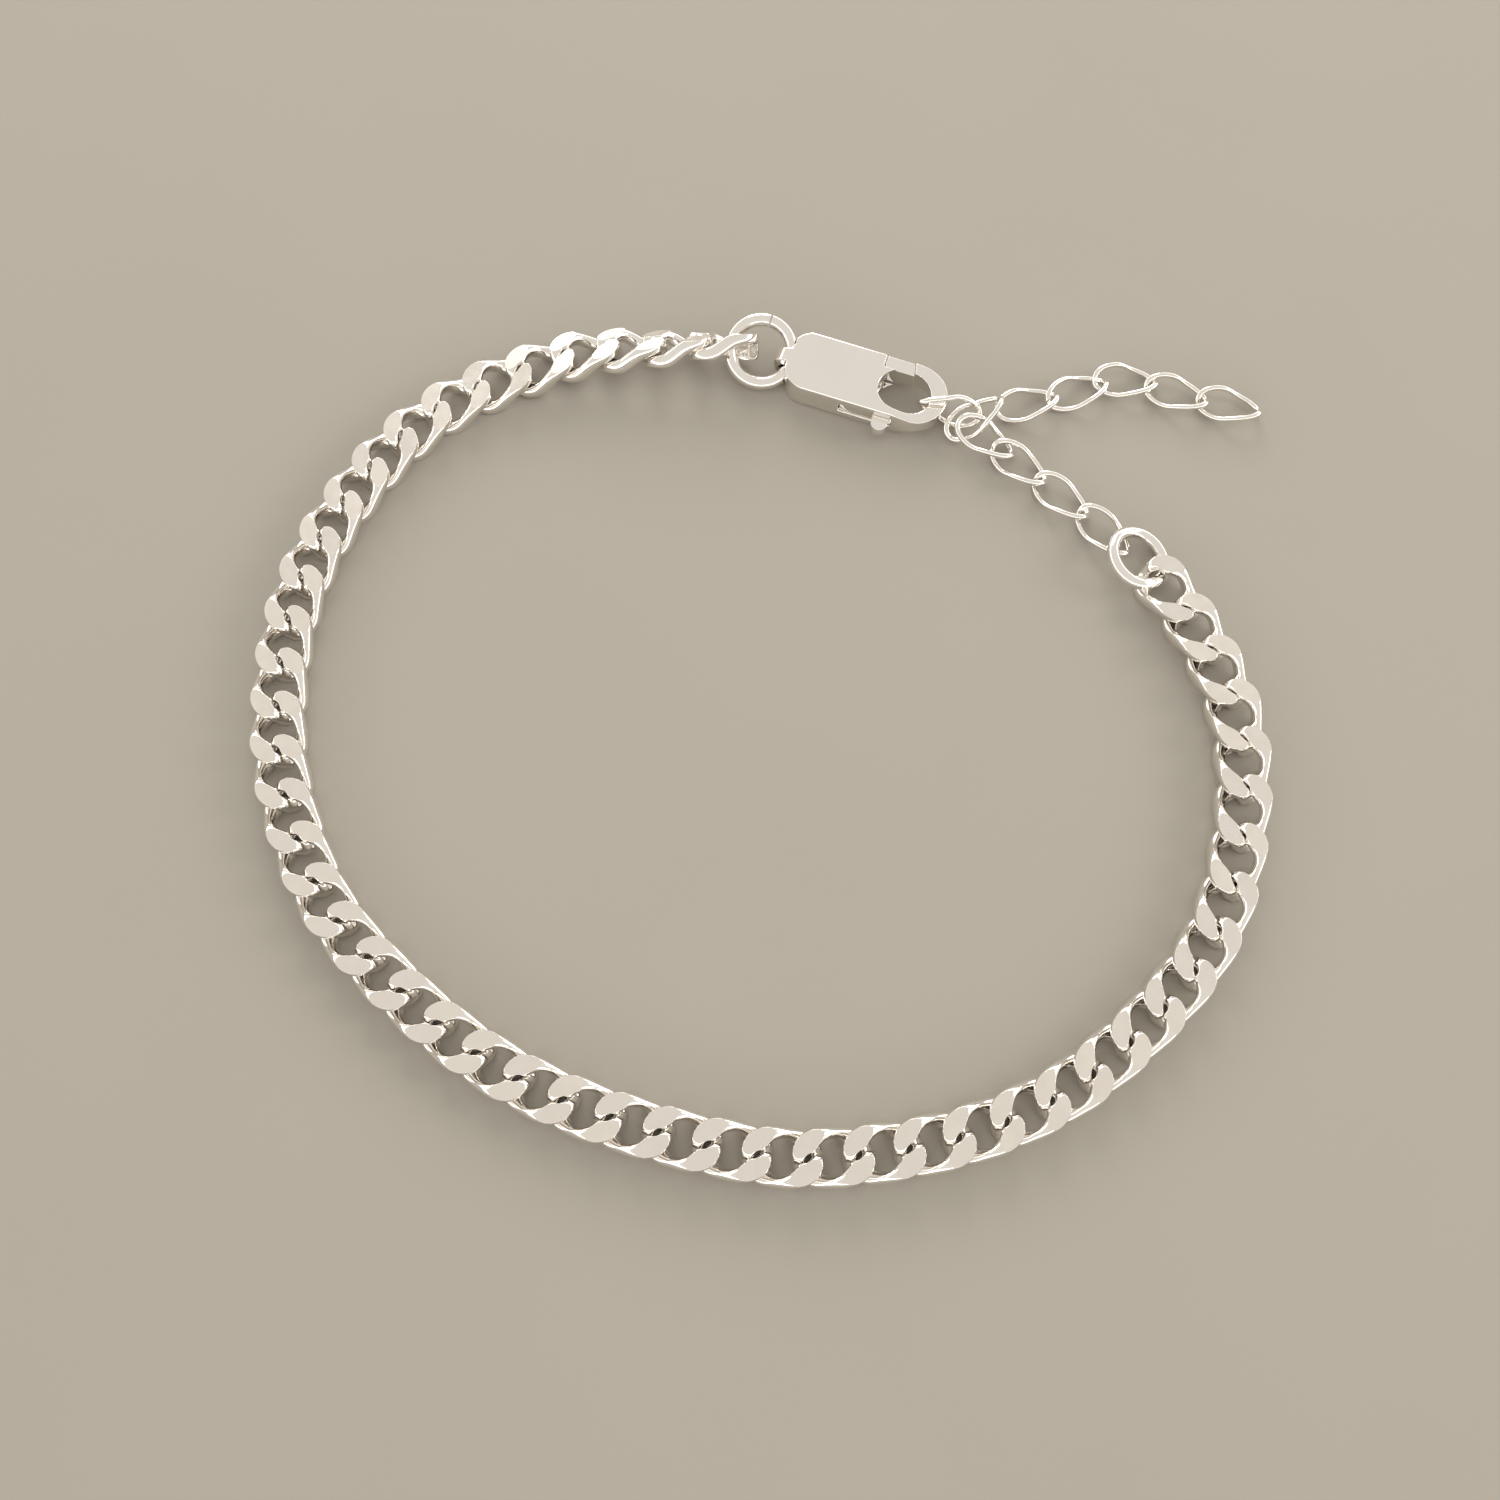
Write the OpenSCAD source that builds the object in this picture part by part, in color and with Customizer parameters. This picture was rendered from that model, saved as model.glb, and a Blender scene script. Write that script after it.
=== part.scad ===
// A silver curb-link bracelet, fastened in a loop and lying on a flat surface.
// The loop runs from the clasp's hook through the extender, the small ring and the
// curb chain to the large ring in the clasp's lug. X points right, Y away and Z up.

/* [Curb chain] */
// Number of curb links
link_count = 49; // [40:1:60]
// Length of a curb link over its ends
link_l = 4.9; // [4.7:0.05:5.2]
// Width of a curb link
link_w = 3.5; // [3.3:0.05:3.8]
// Thickness of a curb link after filing
link_t = 1.7; // [1.6:0.05:1.8]
// Width of the wire at a link's ends
end_wire = 0.8; // [0.7:0.05:0.85]
// Width of the wire halfway along a link's sides
side_wire = 0.66; // [0.56:0.02:0.7]
// Width of the wire at a link's shoulders, where it is filed flat
shoulder_wire = 1.08; // [0.9:0.02:1.14]
// Height of the link's wire
wire_h = 0.8; // [0.7:0.02:0.84]
// Height that the twist lifts the middle of the wire at the shoulders
link_rise = 0.9; // [0.85:0.01:1]
// Length that the chain lies shorter than when it is pulled straight
chain_slack = 5.4; // [3:0.2:7]

/* [Rings] */
// Outer diameter of the ring at the clasp
clasp_ring_d = 5.1; // [4.9:0.1:5.6]
// Wire of the ring at the clasp
clasp_ring_wire = 0.9; // [0.8:0.05:0.95]
// Open seam of the ring at the clasp
clasp_ring_seam = 0.12; // [0.08:0.02:0.2]
// Outer diameter of the ring between the chain and the extender
chain_ring_d = 4.6; // [4.4:0.1:5]
// Wire of the ring between the chain and the extender
chain_ring_wire = 0.8; // [0.7:0.05:0.85]

/* [Extender] */
// Length of an extender link over its ends
ext_l = 4.6; // [4.4:0.05:5]
// Width of an extender link
ext_w = 2.5; // [2.4:0.05:2.8]
// Wire of an extender link
ext_wire = 0.42; // [0.36:0.02:0.44]
// Height that the twist lifts an extender link's wire at its shoulders
ext_rise = 0.4; // [0.35:0.01:0.5]

/* [Clasp] */
// Length of the clasp's body without its lug
clasp_l = 11.1; // [10.5:0.1:12]
// Width of the clasp's body
clasp_w = 4.4; // [4.3:0.05:4.8]
// Thickness of the clasp's body
clasp_t = 2.1; // [2:0.05:2.4]
// Length of the opening in the hook
opening_l = 3.6; // [3.4:0.1:4]
// Width of the opening in the hook
opening_w = 3; // [2.8:0.05:3.1]
// Thickness of the hook at the end of the clasp
hook_wall = 1.1; // [0.9:0.05:1.2]
// Width of the lug that holds the ring
lug_w = 1; // [0.8:0.05:1.1]
// Thickness of the lever
lever_t = 0.7; // [0.6:0.05:0.8]
// Diameter of the lever's rivet
pin_d = 0.8; // [0.6:0.05:0.9]

/* [Hidden] */

// Play between two curb links that pull on each other
joint_gap = 0.22;
// Play between two extender links that pull on each other
ext_gap = 0.17;
// Share of a link's middle line at its corners: 1 is an ellipse, less has fuller shoulders
corner_share = 0.75;
// Share of the twist: 1 is even, less keeps the wire high over a longer stretch
twist_share = 0.7;
// Flat top of the wire's section, as a share of its width
flat_share = 0.6;
stations = 16;

// Points of the loop's middle line, from the extender link on the hook, clockwise round
// the loop, to the middle of the ring at the clasp
route = [
    [12, 21.5], [18, 16.5], [25, 9.5], [28.5, 3], [29.5, -3], [28, -11], [25, -16.5],
    [18.5, -22.5], [12.5, -25.5], [5.5, -27], [-1, -27], [-11, -24.5], [-18, -21],
    [-25, -15], [-28.5, -10], [-31, -2.5], [-31, 7], [-28, 15], [-22.5, 21.5],
    [-14, 25.5], [-6.5, 26], [-1, 26]
];
// Left end of the clasp's body on its middle line, and the clasp's turn
clasp_at = [0.85, 25.45];
clasp_turn = -18.6;

function unit(v) = v / norm(v);
function flat_turn(a) = [[cos(a), -sin(a)], [sin(a), cos(a)]];
function held(v, limit) = max(-limit, min(limit, v));
function running_sum(v, i = 0, sum = 0) =
    i == len(v) ? [sum] : concat([sum], running_sum(v, i + 1, sum + v[i]));

// One wire link: its middle line is an oval with full corners, two of them raised by the
// twist and two lowered; the wire is six-sided and may be filed flat at top and bottom
function full(v, share) = sign(v) * pow(abs(v), share);
function middle(u, size) =
    [size.x * full(cos(u), corner_share), size.y * full(sin(u), corner_share),
        -size.z * full(sin(2 * u), twist_share)];
function heading(u, size) =
    unit(middle(u + 180 / stations, size) - middle(u - 180 / stations, size));
function section(centre, t, half_wire, half_h, cut) =
    let (side = unit([t.y, -t.x, 0]), up = cross(side, t))
    [for (s = [[1, 0], [flat_share, 1], [-flat_share, 1], [-1, 0], [-flat_share, -1], [flat_share, -1]])
        let (p = centre + side * half_wire * s[0] + up * half_h * s[1])
        [p.x, p.y, held(p.z, cut)]];
function link(size, wires, high, cut) = [for (k = [0:stations - 1])
    let (u = (k + 0.5) * 360 / stations,
        wire = wires[0] + (wires[1] - wires[0]) * pow(cos(u), 2)
            + (wires[2] - (wires[0] + wires[1]) / 2) * pow(sin(2 * u), 2))
    each section(middle(u, size), heading(u, size), wire / 2, high / 2, cut)];

curb_link = link([(link_l - end_wire) / 2, (link_w - side_wire) / 2, link_rise],
    [side_wire, end_wire, shoulder_wire], wire_h, link_t / 2);
ext_link = link([(ext_l - ext_wire) / 2, (ext_w - ext_wire) / 2, ext_rise],
    [ext_wire, ext_wire, ext_wire], ext_wire, ext_w);

// Rolled about its length, tilted nose up, then turned on the surface
function posed(points, at, roll, tilt, turn) =
    let (c = [cos(roll), cos(tilt), cos(turn)], s = [sin(roll), -sin(tilt), sin(turn)],
        m = [[c.z * c.y, c.z * s.y * s.x - s.z * c.x, c.z * s.y * c.x + s.z * s.x],
            [s.z * c.y, s.z * s.y * s.x + c.z * c.x, s.z * s.y * c.x - c.z * s.x],
            [-s.y, c.y * s.x, c.y * c.x]])
    [for (p = points) m * p + at];
function lowest(points) = min([for (p = points) p.z]);
function laid(points, at, roll, tilt, turn, lift = 0) =
    let (b = posed(points, [at.x, at.y, 0], roll, tilt, turn), drop = lift - lowest(b))
    [for (p = b) p + [0, 0, drop]];

function link_faces(first) = [for (k = [0:stations - 1], s = [0:5])
    let (a = first + 6 * k + s, b = first + 6 * k + (s + 1) % 6,
        c = first + 6 * ((k + 1) % stations) + s, d = first + 6 * ((k + 1) % stations) + (s + 1) % 6)
    each [[a, b, d], [a, d, c]]];
module links(bodies) {
    polyhedron(
        points = [for (b = bodies) each b],
        faces = [for (i = [0:len(bodies) - 1]) each link_faces(i * 6 * stations)]);
}

// Lengths along the loop, from the middle of the link on the hook
link_pitch = link_l - 2 * end_wire - joint_gap;
ext_pitch = ext_l - 2 * ext_wire - ext_gap;
clasp_ring_r = (clasp_ring_d - clasp_ring_wire) / 2;
chain_ring_r = (chain_ring_d - chain_ring_wire) / 2;
ext_to_ring = (ext_l - joint_gap) / 2 - ext_wire + chain_ring_r - chain_ring_wire / 2 - 2 * ext_gap;
ring_to_link = chain_ring_r - chain_ring_wire / 2 + (link_l - 2 * joint_gap) / 2 - end_wire;
link_to_ring = clasp_ring_r - clasp_ring_wire / 2 + (link_l - joint_gap) / 2 - end_wire;
// Share of its pitch that each extender step takes, from the hook on
ext_steps = [0.75, 0.88, 1, 1];
ext_run = running_sum([for (s = ext_steps) s * ext_pitch]);
ring_run = ext_run[len(ext_steps)] + ext_to_ring;
// Share of the chain on the left, and of its slack on the right
slack_rule = [[0, 0], [0.15, 0], [0.85, 1], [1, 1]];
function link_run(i) = ring_run + ring_to_link + i * link_pitch
    - chain_slack * lookup(i / (link_count - 1), slack_rule);
// Share of its length that the last joint, at the ring, is pulled out to
last_joint = 0.8;
loop_run = link_run(link_count - 1) + last_joint * link_to_ring;

// The route as a smooth curve of short steps, stretched to the loop's length, with both ends
// moved to where the clasp holds them
steps = 8;
chords = [for (i = [0:len(route) - 2]) norm(route[i + 1] - route[i])];
slopes = [for (i = [0:len(route) - 1])
    let (a = max(i - 1, 0), b = min(i + 1, len(route) - 1))
    (route[b] - route[a]) / (i == a ? chords[a] : i == b ? chords[a] : chords[a] + chords[i])];
function span_point(i, t) =
    (2 * pow(t, 3) - 3 * t * t + 1) * route[i] + (3 * t * t - 2 * pow(t, 3)) * route[i + 1]
    + chords[i] * ((pow(t, 3) - 2 * t * t + t) * slopes[i] + (pow(t, 3) - t * t) * slopes[i + 1]);
curve = [for (i = [0:len(route) - 2], k = [0:steps - 1]) span_point(i, k / steps), route[len(route) - 1]];
curve_run = running_sum([for (i = [0:len(curve) - 2]) norm(curve[i + 1] - curve[i])]);
curve_l = curve_run[len(curve) - 1];
stretch = loop_run / curve_l;

// The ring at the clasp leans on its near side, with its left side up
clasp_ring_tilt = 24;
clasp_ring_pitch = 10;
clasp_ring_seam_at = 96;
function lean(r, roll, pitch) = r * sqrt(1 - pow(cos(roll) * cos(pitch), 2));
clasp_ring_z = lean(clasp_ring_r, clasp_ring_tilt, clasp_ring_pitch) + clasp_ring_wire / 2;
lug_hole_x = 0.2;
clasp_ring_x = lug_hole_x - clasp_ring_r * cos(clasp_ring_pitch);
lug_hole_z = clasp_ring_z - clasp_ring_r * sin(clasp_ring_pitch);
function from_clasp(p) = clasp_at + flat_turn(clasp_turn) * p;
hook_hang = 0.3;
loop_from = from_clasp([clasp_l - hook_wall + hook_hang * ext_l, 0]);
loop_to = from_clasp([clasp_ring_x, 0]);
pull_from = loop_from - route[0];
pull_to = loop_to - (route[0] + (route[len(route) - 1] - route[0]) * stretch);
laid_x = [for (i = [0:len(curve) - 1]) let (s = curve_run[i] / curve_l)
    [s * loop_run, (route[0] + (curve[i] - route[0]) * stretch + pull_from * (1 - s) + pull_to * s).x]];
laid_y = [for (i = [0:len(curve) - 1]) let (s = curve_run[i] / curve_l)
    [s * loop_run, (route[0] + (curve[i] - route[0]) * stretch + pull_from * (1 - s) + pull_to * s).y]];
function spot(s) = [lookup(s, laid_x), lookup(s, laid_y)];
function bearing(s) = let (d = spot(s + 0.5) - spot(s - 0.5)) atan2(d.y, d.x);

// The last links roll over towards the ring, whose far side is propped up
roll_links = 5;
end_roll = -56;
function link_roll(i) = end_roll * pow(max(0, 1 - (link_count - 1 - i) / roll_links), 1.3);
function link_z(i) = link_w / 2 * abs(sin(link_roll(i))) + link_t / 2 * cos(link_roll(i));
function link_tilt(i) = atan((link_z(i + 1) - link_z(i - 1)) / (2 * link_pitch));

module curb_chain() color("silver") links([for (i = [0:link_count - 1])
    laid(curb_link, spot(link_run(i)), link_roll(i), i < link_count - 1 ? link_tilt(i) : 0,
        bearing(link_run(i)))]);

module at_clasp_ring() translate([clasp_ring_x, 0, clasp_ring_z])
    rotate([clasp_ring_tilt, clasp_ring_pitch, 0]) rotate([0, 0, clasp_ring_seam_at]) children();
module clasp_ring() color("silver") on_clasp() at_clasp_ring()
    rotate_extrude(angle = 360 - clasp_ring_seam / clasp_ring_r * 180 / PI, $fn = 64)
    translate([clasp_ring_r, 0]) circle(d = clasp_ring_wire, $fn = 32);

module on_clasp() translate([clasp_at.x, clasp_at.y, 0]) rotate([0, 0, clasp_turn]) children();

chain_ring_tilt = -18;
chain_ring_pitch = 10;
module chain_ring() color("silver")
    translate([each spot(ring_run), lean(chain_ring_r, chain_ring_tilt, chain_ring_pitch) + chain_ring_wire / 2])
    rotate([0, 0, bearing(ring_run)]) rotate([chain_ring_tilt, chain_ring_pitch, 0])
    rotate_extrude($fn = 64) translate([chain_ring_r, 0]) circle(d = chain_ring_wire, $fn = 32);

// The link on the hook, and the two that hang in its free end, the second being the tail's
// first: each one's middle from that end of the loop as shares of its length, its height
// off the surface, and its roll, tilt and turn
hook_heap = [
    [[-0.01, 0], 0, 72, -6, -10],
    [[0.51, -0.44], 0, -4, -12, -30],
    [[0.36, -0.12], 0.05, -12, 22, 28]
];
function heaped(i) = let (h = hook_heap[i])
    laid(ext_link, loop_from + ext_l * h[0], h[2], h[3], h[4], h[1]);
// Roll, tilt and turn of the link in the ring, whose wire lifts it
ring_link_lie = [4, -2, -2];
module extender(i) color("silver") links([i < 2 ? heaped(i)
    : let (lie = i == len(ext_steps) ? ring_link_lie : [0, 0, 0])
        laid(ext_link, spot(ext_run[i]), lie.x, lie.y, bearing(ext_run[i]) + lie.z)]);

// Heading of each step of the tail, and how far it is pulled out
tail_turns = [16, 16, 14, -16, -14];
tail_steps = [1, 0.99, 0.95, 0.98, 0.99];
// Roll, tilt and turn of each link of the tail after the first
tail_lie = [[-2, 2, -2], [0, 0, 4], [2, -2, -2], [4, 0, -4], [2, 0, 0]];
tail_start = [0.4, -0.035];
tail_spots = running_sum([for (i = [0:len(tail_turns) - 1])
    tail_steps[i] * ext_pitch * [cos(tail_turns[i]), sin(tail_turns[i])]], 0,
    loop_from + ext_l * tail_start);
module tail(i) color("silver") links([i == 0 ? heaped(2)
    : let (lie = tail_lie[i - 1], turn = (tail_turns[i - 1] + tail_turns[min(i, len(tail_turns) - 1)]) / 2)
        laid(ext_link, tail_spots[i], lie.x, lie.y, turn + lie.z)]);

// The clasp, along X from the left end of its body, on its middle line
body_corner = 1.7;
edge_round = 0.25;
proud = 0.01;
lug_reach = 0.85;
lug_root = 1.9;
lug_round = 0.9;
ring_clearance = 0.16;
opening_r = opening_w / 2;
opening_x = clasp_l - hook_wall - opening_l;
opening_y = -0.13;
// The hook thins towards its nose, over this stretch of the clasp
thin_from = opening_x + 1.3;
thin_to = thin_from + 1.9;
nose_low = 0.68;
nose_high = clasp_t - 0.3;
// The rivet and the gate, which is the part of the hook that swings in with the lever
pivot = [opening_x - 0.95, 1.05];
pin_end = 0.3;
pin_fit = 0.02;
lever_fit = 0.05;
lever_swing = 20;
gate_in = opening_y + opening_r - 0.1;
gate_z = 0.3;
gate_swing = 0.6;
gate_neck = 0.3;
seam_gap = 0.06;
seam_r = 3;
// The lever's plate in its slot, its arm out to the clasp's near side and its nub
slot_gap = 0.05;
slot_z = (clasp_t - lever_t) / 2;
slot_wall = 0.33;
hub_r = 0.75;
hub_room = 1.3;
arm_back = 0.08;
arm_r = pivot.y + clasp_w / 2 - arm_back;
arm_from = -116;
bar_from = [pivot.x + 0.45, -clasp_w / 2 + 0.1];
nub_w = 1.1;
nub_l = 0.95;
nub_x = opening_x + 0.85;
window_from = pivot.x - 1.2;
window_to = nub_x + nub_w / 2 + 0.15;

module rounded(l, w, r) {
    if (w > 2 * r) translate([0, -w / 2 + r]) square([l, w - 2 * r]);
    translate([r, -w / 2]) square([l - 2 * r, w]);
    for (x = [r, l - r], y = [-1, 1]) translate([x, y * (w / 2 - r)]) circle(r, $fn = 48);
}
module wedge(from, to, reach) polygon([pivot,
    for (a = [from, (from + to) / 2, to]) pivot + reach * [cos(a), sin(a)]]);
module body_plan() {
    rounded(clasp_l - clasp_w / 2 + body_corner, clasp_w, body_corner);
    translate([clasp_l - clasp_w / 2, 0]) circle(clasp_w / 2, $fn = 96);
}
module body_side() polygon([[edge_round, 0], [thin_from, 0], [thin_to, nose_low], [clasp_l + proud, nose_low],
    [clasp_l + proud, nose_high], [thin_to, nose_high], [thin_from, clasp_t], [edge_round, clasp_t],
    [edge_round * 0.3, clasp_t - edge_round * 0.3], [-proud, clasp_t - edge_round], [-proud, edge_round],
    [edge_round * 0.3, edge_round * 0.3]]);
module body_form() intersection() {
    translate([0, 0, -1]) linear_extrude(clasp_t + 2) body_plan();
    translate([0, clasp_w, 0]) rotate([90, 0, 0]) linear_extrude(2 * clasp_w) body_side();
    translate([-1, 0, clasp_t / 2]) rotate([90, 0, 90]) linear_extrude(clasp_l + 2)
        translate([-clasp_w / 2 - proud, 0]) rounded(clasp_w + 2 * proud, clasp_t + 2 * proud, edge_round);
}
module lug() translate([0, lug_w / 2, clasp_t / 2]) rotate([90, 0, 0]) linear_extrude(lug_w)
    translate([-lug_reach, 0]) rounded(lug_reach + lug_root, clasp_t - 2 * proud, lug_round);
module ring_way() at_clasp_ring() rotate_extrude($fn = 64)
    translate([clasp_ring_r, 0]) circle(d = clasp_ring_wire + 2 * ring_clearance, $fn = 32);
module opening(gap) translate([opening_x - gap, opening_y])
    rounded(opening_l + 2 * gap, opening_w + 2 * gap, opening_r + gap);
module gate_zone(gap) intersection() {
    translate([opening_x - gap, gate_in - gap]) square([opening_l, clasp_w]);
    translate(pivot) circle(seam_r + gap, $fn = 96);
}
module slot() {
    intersection() {
        translate(pivot) circle(arm_r + slot_gap, $fn = 96);
        wedge(arm_from - lever_swing - 4, -40, 2 * arm_r);
    }
    translate([pivot.x - hub_room, opening_y - opening_r]) square([opening_x - pivot.x + hub_room + 0.1,
        clasp_w / 2 - slot_wall - opening_y + opening_r]);
    translate([window_from, -clasp_w]) square([window_to - window_from, clasp_w + opening_y - opening_r / 2]);
}
module clasp_body() color("silver") on_clasp() difference() {
    union() {
        body_form();
        lug();
    }
    ring_way();
    translate([0, 0, -1]) linear_extrude(clasp_t + 2) opening(0);
    translate([0, 0, slot_z - slot_gap]) linear_extrude(lever_t + 2 * slot_gap) slot();
    translate([0, 0, -1]) linear_extrude(clasp_t + 2) gate_zone(seam_gap);
    translate([opening_x - seam_gap / 2, gate_in - gate_swing, gate_z - slot_gap])
        cube([opening_r, gate_swing, clasp_t - 2 * gate_z + 2 * slot_gap]);
    translate([pivot.x, pivot.y, pin_end - pin_fit])
        cylinder(d = pin_d + 2 * pin_fit, h = clasp_t - 2 * pin_end + 2 * pin_fit, $fn = 48);
}
module lever_plan() {
    translate(pivot) circle(hub_r, $fn = 48);
    polygon([[opening_x + proud, gate_in + gate_neck], [pivot.x, pivot.y + hub_r],
        [pivot.x, pivot.y - hub_r], [opening_x + proud, gate_in]]);
    difference() {
        union() {
            intersection() {
                translate(pivot) circle(arm_r, $fn = 96);
                wedge(arm_from, -45, 2 * arm_r);
            }
            translate(bar_from) square([nub_x + nub_w / 2 - bar_from.x, opening_r]);
        }
        opening(2 * arm_back);
    }
    translate([nub_x - nub_w / 2, -clasp_w / 2 - nub_l + nub_w / 2]) square([nub_w, nub_l - nub_w / 2 + 0.2]);
    translate([nub_x, -clasp_w / 2 - nub_l + nub_w / 2]) circle(d = nub_w, $fn = 48);
}
module clasp_lever() color("silver") on_clasp() difference() {
    union() {
        translate([0, 0, slot_z]) linear_extrude(lever_t) lever_plan();
        intersection() {
            body_form();
            translate([0, 0, gate_z]) linear_extrude(clasp_t - 2 * gate_z) gate_zone(0);
        }
    }
    translate([pivot.x, pivot.y, 0]) cylinder(d = pin_d + 2 * lever_fit, h = clasp_t, $fn = 48);
}
module clasp_pin() color("silver") on_clasp() translate([pivot.x, pivot.y, pin_end])
    cylinder(d = pin_d, h = clasp_t - 2 * pin_end, $fn = 48);

curb_chain();
clasp_ring();
clasp_body();
clasp_lever();
clasp_pin();
chain_ring();
extender(0);  // extender_1
extender(1);  // extender_2
extender(2);  // extender_3
extender(3);  // extender_4
extender(4);  // extender_5
tail(0);  // tail_1
tail(1);  // tail_2
tail(2);  // tail_3
tail(3);  // tail_4
tail(4);  // tail_5
tail(5);  // tail_6
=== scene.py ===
import bpy
import bmesh
import math
import numpy as np
from mathutils import Matrix, Vector


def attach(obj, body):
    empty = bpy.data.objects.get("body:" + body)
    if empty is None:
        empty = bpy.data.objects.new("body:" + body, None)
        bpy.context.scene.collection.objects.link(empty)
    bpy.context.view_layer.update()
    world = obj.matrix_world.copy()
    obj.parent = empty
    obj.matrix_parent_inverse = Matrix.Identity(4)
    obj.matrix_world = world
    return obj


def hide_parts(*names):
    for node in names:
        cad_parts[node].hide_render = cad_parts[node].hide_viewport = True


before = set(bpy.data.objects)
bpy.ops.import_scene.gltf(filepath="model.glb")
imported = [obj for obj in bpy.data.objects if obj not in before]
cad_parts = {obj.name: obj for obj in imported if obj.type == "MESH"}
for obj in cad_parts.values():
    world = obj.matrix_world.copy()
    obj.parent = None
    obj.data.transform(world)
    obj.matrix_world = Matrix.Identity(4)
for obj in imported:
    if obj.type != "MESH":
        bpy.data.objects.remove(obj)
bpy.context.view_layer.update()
mm = 0.001
print("bracelet: frame loaded,", len(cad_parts), "CAD pieces")


# camera, above the near side and looking steeply down, as in the photograph
view = {
    "from": (-1.5, -30.51, 90.12), "aim": (-1.5, -2.0, 0.85), "lens": 36.23, "film": 36.0,  # mm
    "roll": 0.417,  # degrees
    "near": 0.001, "far": 10.0,  # metres
}

def placeCamera():
    eye, aim = Vector(view["from"]) * mm, Vector(view["aim"]) * mm
    back = (eye - aim).normalized()
    right = Vector((0, 1, 0)).cross(back).normalized()
    turn = Matrix((right, back.cross(right), back)).transposed()
    turn = turn @ Matrix.Rotation(math.radians(view["roll"]), 3, "Z")
    data = bpy.data.cameras.new("photoView")
    data.lens, data.sensor_width = view["lens"], view["film"]
    data.clip_start, data.clip_end = view["near"], view["far"]
    camera = bpy.data.objects.new("photoView", data)
    camera.matrix_world = Matrix.Translation(eye) @ turn.to_4x4()
    bpy.context.scene.collection.objects.link(camera)
    bpy.context.scene.camera = camera

placeCamera()


# shader building: a socket that does sums, and one way to add any node
class Socket:
    def __init__(self, maker, socket):
        self.maker, self.socket = maker, socket

    def sum(self, how, first, second):
        return self.maker.node("ShaderNodeMath", {"operation": how}, {0: first, 1: second})

    def __add__(self, other): return self.sum("ADD", self, other)
    def __radd__(self, other): return self.sum("ADD", other, self)
    def __sub__(self, other): return self.sum("SUBTRACT", self, other)
    def __rsub__(self, other): return self.sum("SUBTRACT", other, self)
    def __mul__(self, other): return self.sum("MULTIPLY", self, other)
    def __rmul__(self, other): return self.sum("MULTIPLY", other, self)

    def ramp(self, low, high, start, end):
        return self.maker.node("ShaderNodeMapRange", {"interpolation_type": "SMOOTHSTEP"},
                               {"Value": self, "From Min": start, "From Max": end, "To Min": low, "To Max": high})


class Finish:
    def __init__(self, name):
        self.material = bpy.data.materials.new(name)
        self.material.use_nodes = True
        self.tree = self.material.node_tree
        self.shader = self.tree.nodes["Principled BSDF"]

    def plug(self, socket, value):
        if isinstance(value, Socket):
            self.tree.links.new(value.socket, socket)
        else:
            socket.default_value = value

    def node(self, kind, settings=None, sockets=None, out=0):
        made = self.tree.nodes.new(kind)
        for key, value in (settings or {}).items():
            setattr(made, key, value)
        for key, value in (sockets or {}).items():
            self.plug(made.inputs[key], value)
        return Socket(self, made.outputs[out])

    def spots(self, scale, detail, rough=0.5, stretch=(1, 1, 1)):
        place = self.node("ShaderNodeTexCoord", out="Object")
        place = self.node("ShaderNodeMapping", {}, {"Vector": place, "Scale": stretch})
        return self.node("ShaderNodeTexNoise", {},
                         {"Vector": place, "Scale": scale, "Detail": detail, "Roughness": rough})

    def mix(self, factor, a, b):
        return self.node("ShaderNodeMix", {"data_type": "RGBA"}, {0: factor, 6: a, 7: b}, out=2)

    def finish(self, **sockets):
        for key, value in sockets.items():
            self.plug(self.shader.inputs[key.replace("_", " ")], value)
        return self.material


# polished silver: pale, slightly warm, with hairlines, soft dents and a little tarnish
silver = {
    "bright": (0.95, 0.92, 0.885, 1), "warm": (0.89, 0.84, 0.78, 1), "filed": (0.89, 0.835, 0.77, 1),
    "polish": 0.07, "worn": 0.15, "filedPolish": 0.27,  # roughness of clean, worn and filed metal
    "clouds": (420, 3.0), "cloudEdges": (0.42, 0.72),  # noise scale and detail, and where tarnish starts and ends
    "wear": (1500, 4.0, 0.6), "wearEdges": (0.35, 0.7),
    "lines": (900, 2.0, 0.55, (1, 9, 4)),
    "tarnish": 0.4,
    "filedTone": (0.45, 0.4), "filedGloss": (0.7, 0.6),  # least, and how much more from link to link
    "hairline": 0.000005, "dent": 0.000002, "relief": 0.07,  # heights in metres, and the strength of the bump
}

def silverFinish(name, cleaner=0.0):
    f = Finish(name)
    flat = f.node("ShaderNodeAttribute", {"attribute_name": "filed"}, out="Fac")
    tone = f.node("ShaderNodeAttribute", {"attribute_name": "pieceTone"}, out="Fac")
    clouds = f.spots(*silver["clouds"])
    wear = f.spots(*silver["wear"])
    lines = f.spots(*silver["lines"])
    leastTone, moreTone = silver["filedTone"]
    leastGloss, moreGloss = silver["filedGloss"]
    tarnish = clouds.ramp(0.0, 1.0, *silver["cloudEdges"]) * (silver["tarnish"] - cleaner)
    colour = f.mix(tarnish, silver["bright"], silver["warm"])
    colour = f.mix(flat * (leastTone + tone * moreTone), colour, silver["filed"])
    gloss = wear.ramp(silver["polish"], silver["worn"], *silver["wearEdges"])
    gloss = gloss + flat * (silver["filedPolish"] - silver["polish"]) * (leastGloss + tone * moreGloss)
    height = lines * silver["hairline"] + clouds * silver["dent"]
    bump = f.node("ShaderNodeBump", {}, {"Strength": silver["relief"], "Distance": 1.0, "Height": height})
    return f.finish(Base_Color=colour, Metallic=1.0, Roughness=gloss, Normal=bump)

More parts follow.
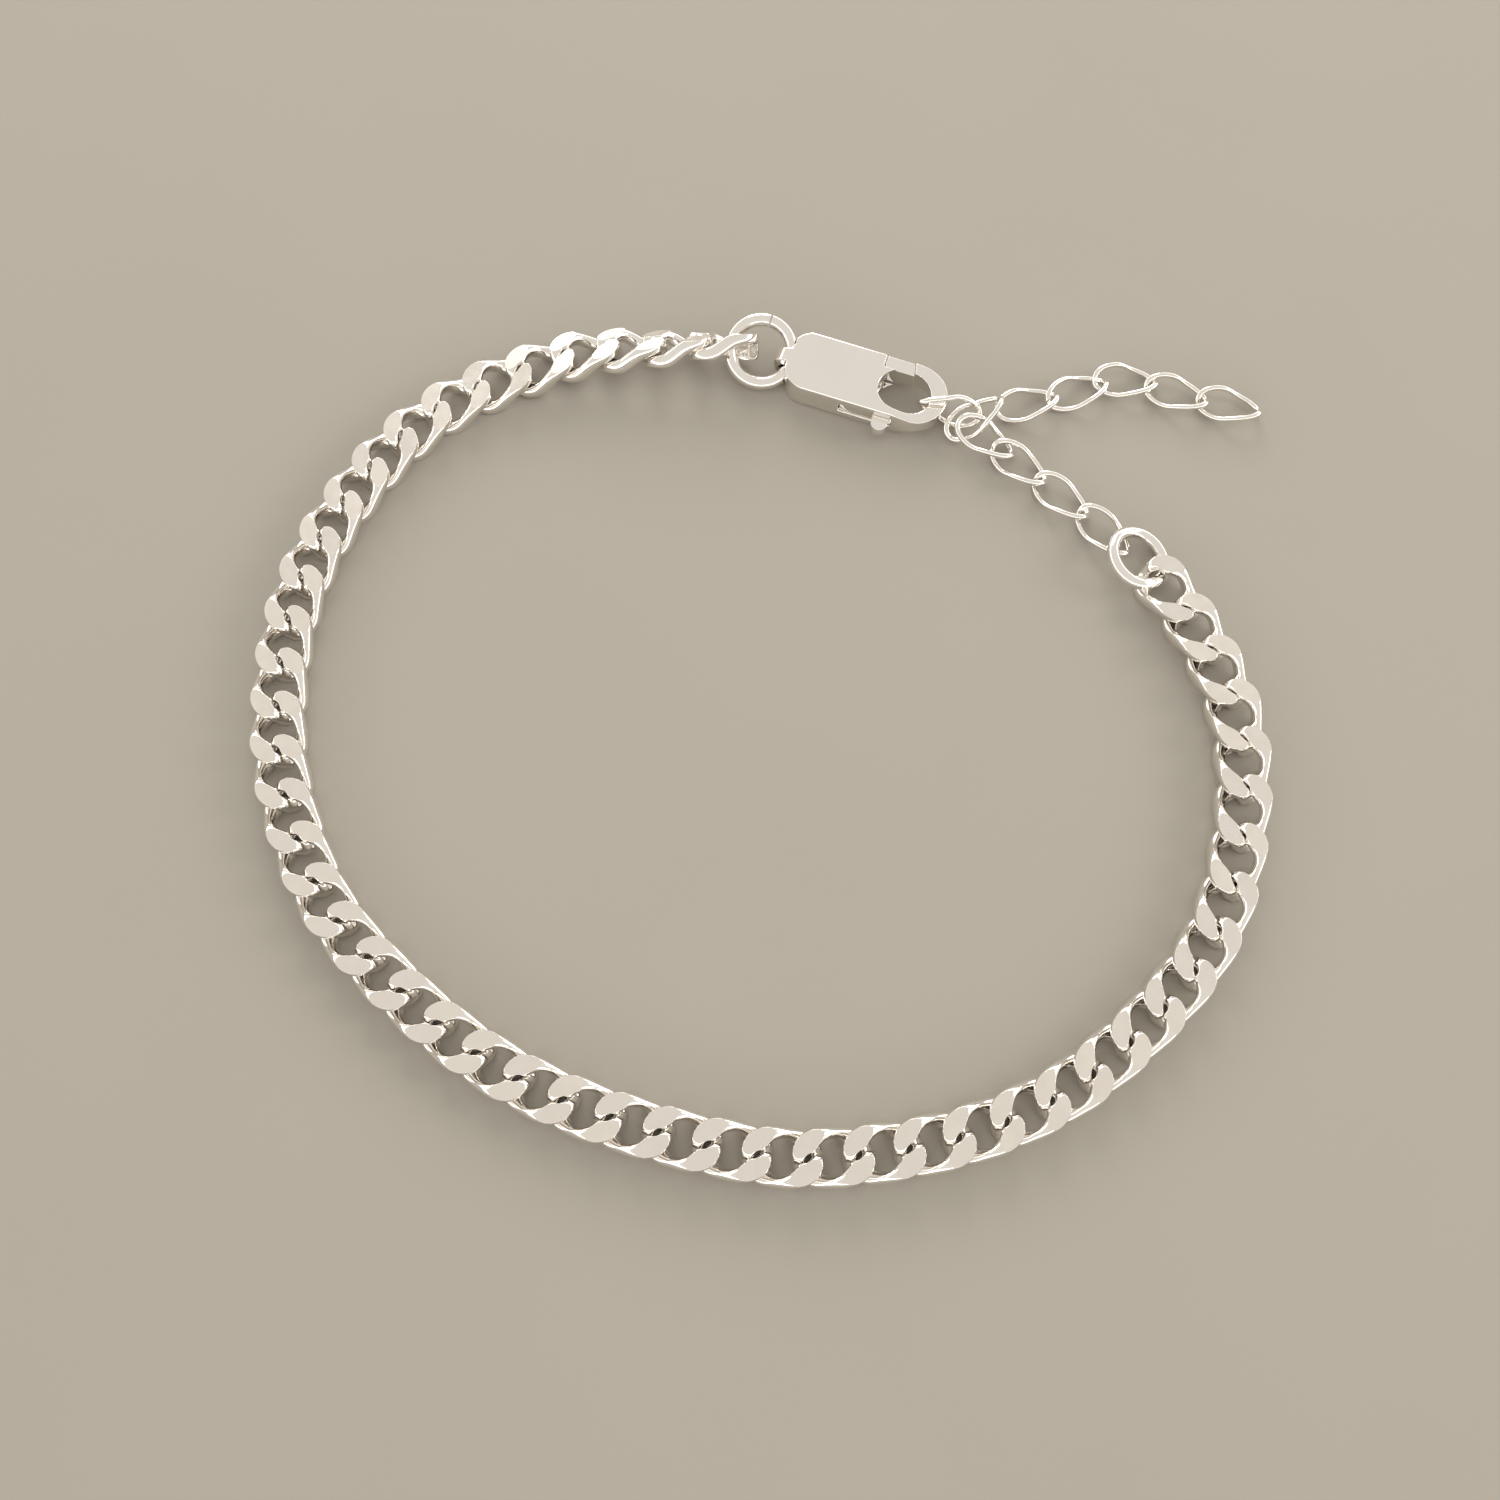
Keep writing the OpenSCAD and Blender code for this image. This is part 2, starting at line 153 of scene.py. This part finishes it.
chainSilver = silverFinish("chainSilver")
claspSilver = silverFinish("claspSilver", 0.25)
extenderSilver = silverFinish("extenderSilver", 0.1)
print("bracelet: silver finishes ready")


# twisted wire links, in mm; thick is over the filed faces, and 0 leaves the wire round
curbLink = {
    "length": 4.9, "width": 3.47, "thick": 1.7, "edge": 0.04,  # edge rounds the rims of the filed faces
    "endWire": 0.82, "sideWire": 0.7, "shoulderWire": 1.28, "wireHeight": 0.96,
    "inward": 0.58,  # share of the shoulders' extra wire that lies on the inside
    "rise": 0.6, "twist": 2.0, "lean": 0.18,  # how high, how suddenly and how far along the wire is lifted
    "fullness": 0.96,  # 1 is an even oval, less is squarer, more is pointed
    "stations": 72, "sides": 20,
}
ovalLink = {
    "length": 4.6, "width": 2.5, "thick": 0, "edge": 0,
    "endWire": 0.42, "sideWire": 0.36, "shoulderWire": 0.36, "wireHeight": 0.39,
    "inward": 0.0,
    "rise": 0.36, "twist": 1.2, "lean": 0.0,
    "fullness": 1.08,
    "stations": 64, "sides": 16,
}
slim = 0.006  # how far the wire's surface stays inside its stated size, in mm
plump = 0.9  # below 1 the wire's section is a little squarer than round
glance = math.pi / 16  # how far to each side along the oval the wire's heading is taken
weld, cutSlack = 1e-7, 1e-8  # metres

def signedPower(v, power):
    return np.sign(v) * np.abs(v) ** power

# the middle line of the wire: a full oval, lifted at two opposite shoulders and lowered at the other two
def wireMiddle(size, a):
    reachX, reachY = (size["length"] - size["endWire"]) / 2, (size["width"] - size["sideWire"]) / 2
    lift = np.tanh(size["twist"] * np.sin(2 * (a + size["lean"] * np.sin(2 * a)))) / math.tanh(size["twist"])
    return np.stack([reachX * signedPower(np.cos(a), size["fullness"]),
                     reachY * signedPower(np.sin(a), size["fullness"]), -size["rise"] * lift], 1)

# rings of points round the wire, one for each station
def wireRings(size):
    u = (np.arange(size["stations"]) + 0.5) / size["stations"] * 2 * math.pi
    heading = wireMiddle(size, u + glance) - wireMiddle(size, u - glance)
    heading /= np.linalg.norm(heading, axis=1)[:, None]
    side = np.stack([heading[:, 1], -heading[:, 0], 0 * u], 1)
    side /= np.linalg.norm(side, axis=1)[:, None]
    up = np.cross(side, heading)
    wire = (size["sideWire"] + (size["endWire"] - size["sideWire"]) * np.cos(u) ** 2
            + (size["shoulderWire"] - (size["sideWire"] + size["endWire"]) / 2) * np.sin(2 * u) ** 2)
    swell = (wire - size["sideWire"]) / 2 * size["inward"]
    outer, inner = wire / 2 - slim - swell, wire / 2 - slim + swell
    around = np.arange(size["sides"]) / size["sides"] * 2 * math.pi
    across = np.where(np.cos(around)[None] > 0, outer[:, None], inner[:, None])
    across = across * signedPower(np.cos(around), plump)[None]
    high = (size["wireHeight"] / 2 - slim) * signedPower(np.sin(around), plump)
    return wireMiddle(size, u)[:, None] + side[:, None] * across[:, :, None] + up[:, None] * high[None, :, None]

# cuts both faces flat, closes them, marks them as filed and rounds their rims
def fileFaces(bm, size, filed):
    for sign in (1, -1):
        cut = sign * (size["thick"] / 2 - slim) * mm
        bmesh.ops.bisect_plane(bm, geom=bm.verts[:] + bm.edges[:] + bm.faces[:], dist=cutSlack,
                               plane_co=(0, 0, cut), plane_no=(0, 0, sign), clear_outer=True)
        rim = [e for e in bm.edges if e.is_boundary]
        for face in bmesh.ops.holes_fill(bm, edges=rim, sides=0)["faces"]:
            face[filed] = 1.0
            face.normal_update()
    for face in bm.faces:
        face.smooth = face[filed] < 0.5
    rims = [e for e in bm.edges if sum(f[filed] > 0.5 for f in e.link_faces) == 1]
    bmesh.ops.bevel(bm, geom=rims, offset=size["edge"] * mm, segments=2, profile=0.5, affect="EDGES",
                    clamp_overlap=True)

def wireLink(size, name):
    rings, ringSize = size["stations"], size["sides"]
    bm = bmesh.new()
    verts = [bm.verts.new(p * mm) for p in wireRings(size).reshape(-1, 3)]
    for i in range(rings):
        for j in range(ringSize):
            here, there = i * ringSize, (i + 1) % rings * ringSize
            ahead = (j + 1) % ringSize
            bm.faces.new([verts[k] for k in (here + j, here + ahead, there + ahead, there + j)]).smooth = True
    bmesh.ops.recalc_face_normals(bm, faces=bm.faces[:])
    filed = bm.faces.layers.float.new("filed")
    if size["thick"]:
        fileFaces(bm, size, filed)
    mesh = bpy.data.meshes.new(name)
    bm.to_mesh(mesh)
    bm.free()
    made = bpy.data.objects.new(name, mesh)
    bpy.context.scene.collection.objects.link(made)
    return made


# where each loose link of a CAD piece lies: its middle, and its turn as three angles
def looseLinks(node):
    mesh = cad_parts[node].data
    points = np.array([v.co for v in mesh.vertices])
    mesh.calc_loop_triangles()
    corners = np.array([t.vertices for t in mesh.loop_triangles])
    unique, back = np.unique(np.round(points, 8), axis=0, return_inverse=True)
    corners = back.reshape(-1)[corners]
    # each point takes the lowest number among its neighbours, until a whole link shares one
    label = np.arange(len(unique))
    while True:
        lowest = label[corners].min(1)
        fresh = label.copy()
        for k in range(3):
            np.minimum.at(fresh, corners[:, k], lowest)
        if (fresh == label).all():
            break
        label = fresh
    lies = []
    for link in np.unique(label):
        cloud = unique[label == link]
        middle = cloud.mean(0)
        axes = np.linalg.eigh(np.cov((cloud - middle).T))[1]  # thickness, width and length
        turn = np.stack([axes[:, 2], axes[:, 1], np.cross(axes[:, 2], axes[:, 1])], 1)
        lies.append((middle, Matrix(turn.tolist()).to_euler("XYZ")))
    return lies


# a tree that lays one link at each marked place along the bracelet
def linkTree():
    tree = bpy.data.node_groups.new("layLinks", "GeometryNodeTree")
    face = tree.interface
    face.new_socket("Places", in_out="INPUT", socket_type="NodeSocketGeometry")
    face.new_socket("Link", in_out="INPUT", socket_type="NodeSocketObject")
    face.new_socket("Silver", in_out="INPUT", socket_type="NodeSocketMaterial")
    size = face.new_socket("Link size", in_out="INPUT", socket_type="NodeSocketFloat")
    size.default_value, size.min_value, size.max_value = 1.0, 0.5, 1.0
    face.new_socket("Tone seed", in_out="INPUT", socket_type="NodeSocketInt")
    face.new_socket("Links", in_out="OUTPUT", socket_type="NodeSocketGeometry")

    def node(kind, settings=None, **sockets):
        made = tree.nodes.new(kind)
        for key, value in (settings or {}).items():
            setattr(made, key, value)
        for key, value in sockets.items():
            socket = made.inputs[key.replace("_", " ")]
            if isinstance(value, bpy.types.NodeSocket):
                tree.links.new(value, socket)
            else:
                socket.default_value = value
        return made

    given = node("NodeGroupInput").outputs
    lie = node("GeometryNodeInputNamedAttribute", {"data_type": "FLOAT_VECTOR"}, Name="lie")
    turn = node("FunctionNodeEulerToRotation", Euler=lie.outputs[0])
    shape = node("GeometryNodeObjectInfo", Object=given["Link"])
    points = node("GeometryNodeMeshToPoints", Mesh=given["Places"])
    laid = node("GeometryNodeInstanceOnPoints", Points=points.outputs[0], Instance=shape.outputs["Geometry"],
                Rotation=turn.outputs[0], Scale=given["Link size"])
    tone = node("FunctionNodeRandomValue", {"data_type": "FLOAT"}, Seed=given["Tone seed"])
    toned = node("GeometryNodeStoreNamedAttribute", {"data_type": "FLOAT", "domain": "INSTANCE"},
                 Geometry=laid.outputs[0], Name="pieceTone", Value=tone.outputs[1])
    real = node("GeometryNodeRealizeInstances", Geometry=toned.outputs[0])
    coated = node("GeometryNodeSetMaterial", Geometry=real.outputs[0], Material=given["Silver"])
    end = tree.nodes.new("NodeGroupOutput")
    tree.links.new(coated.outputs[0], end.inputs[0])
    return tree

layLinks = linkTree()

# a link that would dip under the floor is lifted until it just touches
def restOnFloor(lies, link):
    shape = np.array([v.co for v in link.data.vertices])
    for middle, turn in lies:
        lowest = (shape @ np.array(turn.to_matrix())[2]).min() + middle[2]
        middle[2] += max(0.0, slim * mm - lowest)

def layOut(name, lies, link, finish, slot, *nodes, seed):
    restOnFloor(lies, link)
    mesh = bpy.data.meshes.new(name)
    mesh.from_pydata([tuple(middle) for middle, turn in lies], [], [])
    angles = mesh.attributes.new("lie", "FLOAT_VECTOR", "POINT")
    angles.data.foreach_set("vector", [a for middle, turn in lies for a in turn])
    places = bpy.data.objects.new(name + "Places", mesh)
    bpy.context.scene.collection.objects.link(places)
    maker = places.modifiers.new("layLinks", "NODES")
    maker.node_group = layLinks
    inputs = {s.name: s.identifier for s in layLinks.interface.items_tree if s.in_out == "INPUT"}
    maker[inputs["Link"]] = link
    maker[inputs["Silver"]] = finish
    maker[inputs["Link size"]] = 1.0
    maker[inputs["Tone seed"]] = seed
    ready = bpy.context.evaluated_depsgraph_get()
    plain = bpy.data.meshes.new_from_object(places.evaluated_get(ready), preserve_all_data_layers=True,
                                            depsgraph=ready)
    bpy.data.objects.remove(places)
    made = bpy.data.objects.new(name, plain)
    plain.name = name
    bpy.context.scene.collection.objects.link(made)
    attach(made, "bracelet")
    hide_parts(*nodes)
    print("bracelet:", name, len(plain.polygons), "faces")

masterCurb = wireLink(curbLink, "curbLinkShape")
masterOval = wireLink(ovalLink, "ovalLinkShape")
extenderNodes = ["extender_%d" % i for i in range(1, 6)]
tailNodes = ["tail_%d" % i for i in range(1, 7)]
layOut("curbChain", looseLinks("curb_chain"), masterCurb, chainSilver, "chain_silver", "curb_chain", seed=3)
layOut("extenderLinks", [looseLinks(n)[0] for n in extenderNodes], masterOval, extenderSilver,
       "extender_silver", *extenderNodes, seed=5)
layOut("tailLinks", [looseLinks(n)[0] for n in tailNodes], masterOval, extenderSilver,
       "extender_silver", *tailNodes, seed=8)
for master in (masterCurb, masterOval):
    bpy.data.objects.remove(master)


# the cast pieces: the CAD solid under a fine skin in mm, its corners softened by rounds of polish
casting = {
    "clasp_body": {"skin": 0.055, "rounds": 6, "softness": 0.5},
    "clasp_lever": {"skin": 0.04, "rounds": 4, "softness": 0.5},
}

def castPiece(node, name, body, finish):
    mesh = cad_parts[node].data.copy()
    bm = bmesh.new()
    bm.from_mesh(mesh)
    bmesh.ops.remove_doubles(bm, verts=bm.verts, dist=weld)
    bm.to_mesh(mesh)
    bm.free()
    made = bpy.data.objects.new(name, mesh)
    bpy.context.scene.collection.objects.link(made)
    skin = made.modifiers.new("skin", "REMESH")
    skin.mode, skin.voxel_size, skin.use_smooth_shade = "VOXEL", casting[node]["skin"] * mm, True
    flats = made.modifiers.new("trueFlats", "SHRINKWRAP")  # puts the skin back on the solid's own faces
    flats.target, flats.wrap_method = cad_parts[node], "NEAREST_SURFACEPOINT"
    polish = made.modifiers.new("polish", "SMOOTH")
    polish.factor, polish.iterations = casting[node]["softness"], casting[node]["rounds"]
    ready = bpy.context.evaluated_depsgraph_get()
    plain = bpy.data.meshes.new_from_object(made.evaluated_get(ready), depsgraph=ready)
    made.modifiers.clear()
    made.data = plain
    plain.materials.clear()
    plain.materials.append(finish)
    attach(made, body)
    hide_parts(node)
    print("bracelet:", name, len(plain.polygons), "faces")

castPiece("clasp_body", "claspBody", "bracelet", claspSilver)
castPiece("clasp_lever", "claspLever", "lever", claspSilver)

# the rings and the rivet keep their CAD shapes
for node in ("clasp_ring", "chain_ring", "clasp_pin"):
    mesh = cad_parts[node].data
    mesh.materials.clear()
    mesh.materials.append(claspSilver)


# plain pale floor in a soft light tent: grey along the floor, a bright band round the sides, calmer overhead
studio = {
    "floor": (0.40, 0.37, 0.32, 1), "floorGrain": (0.384, 0.3552, 0.3072, 1), "grain": (60, 3.0),
    "floorGloss": 0.75, "floorSize": 1.2, "floorDrop": 0.02,  # metres across, and mm below the links
    "tentPower": 2.6,
    "tent": [(0.0, (0.16, 0.15, 0.14, 1)), (0.15, (0.17, 0.16, 0.15, 1)), (0.23, (1, 0.98, 0.94, 1)),
             (0.32, (1, 0.98, 0.94, 1)), (0.46, (0.30, 0.288, 0.265, 1)), (1.0, (0.29, 0.277, 0.255, 1))],
    "lamp": (1.0, 0.98, 0.94),
    "lamps": [("window", (-0.05, 0.55, 0.26), 0.30, 1.2), ("panel", (0.45, 0.05, 0.22), 0.16, 0.504)],
}

def pourFloor():
    bpy.ops.mesh.primitive_plane_add(size=studio["floorSize"], location=(0, 0, -studio["floorDrop"] * mm))
    floor = bpy.context.object
    floor.name = "studioFloor"
    f = Finish("paperFloor")
    colour = f.mix(f.spots(*studio["grain"]), studio["floor"], studio["floorGrain"])
    floor.data.materials.append(f.finish(Base_Color=colour, Roughness=studio["floorGloss"]))

def raiseTent():
    world = bpy.data.worlds.new("lightTent")
    world.use_nodes = True
    bpy.context.scene.world = world
    tree = world.node_tree
    back = tree.nodes["Background"]
    heights = tree.nodes.new("ShaderNodeSeparateXYZ")
    tent = tree.nodes.new("ShaderNodeValToRGB")
    stops = tent.color_ramp.elements
    stops[0].color, stops[1].color = studio["tent"][0][1], studio["tent"][-1][1]
    for height, colour in studio["tent"][1:-1]:
        stops.new(height).color = colour
    tree.links.new(tree.nodes.new("ShaderNodeTexCoord").outputs["Generated"], heights.inputs[0])
    tree.links.new(heights.outputs["Z"], tent.inputs[0])
    tree.links.new(tent.outputs[0], back.inputs["Color"])
    back.inputs["Strength"].default_value = studio["tentPower"]

def hangLamp(name, place, size, watts):
    lamp = bpy.data.lights.new(name, "AREA")
    lamp.shape, lamp.size = "SQUARE", size
    lamp.energy, lamp.color = watts, studio["lamp"]
    holder = bpy.data.objects.new(name, lamp)
    holder.location = place
    holder.rotation_euler = (-Vector(place)).to_track_quat("-Z", "Y").to_euler()
    bpy.context.scene.collection.objects.link(holder)

bpy.context.scene.view_settings.view_transform = "Standard"
pourFloor()
raiseTent()
for lamp in studio["lamps"]:
    hangLamp(*lamp)
print("bracelet: studio ready")
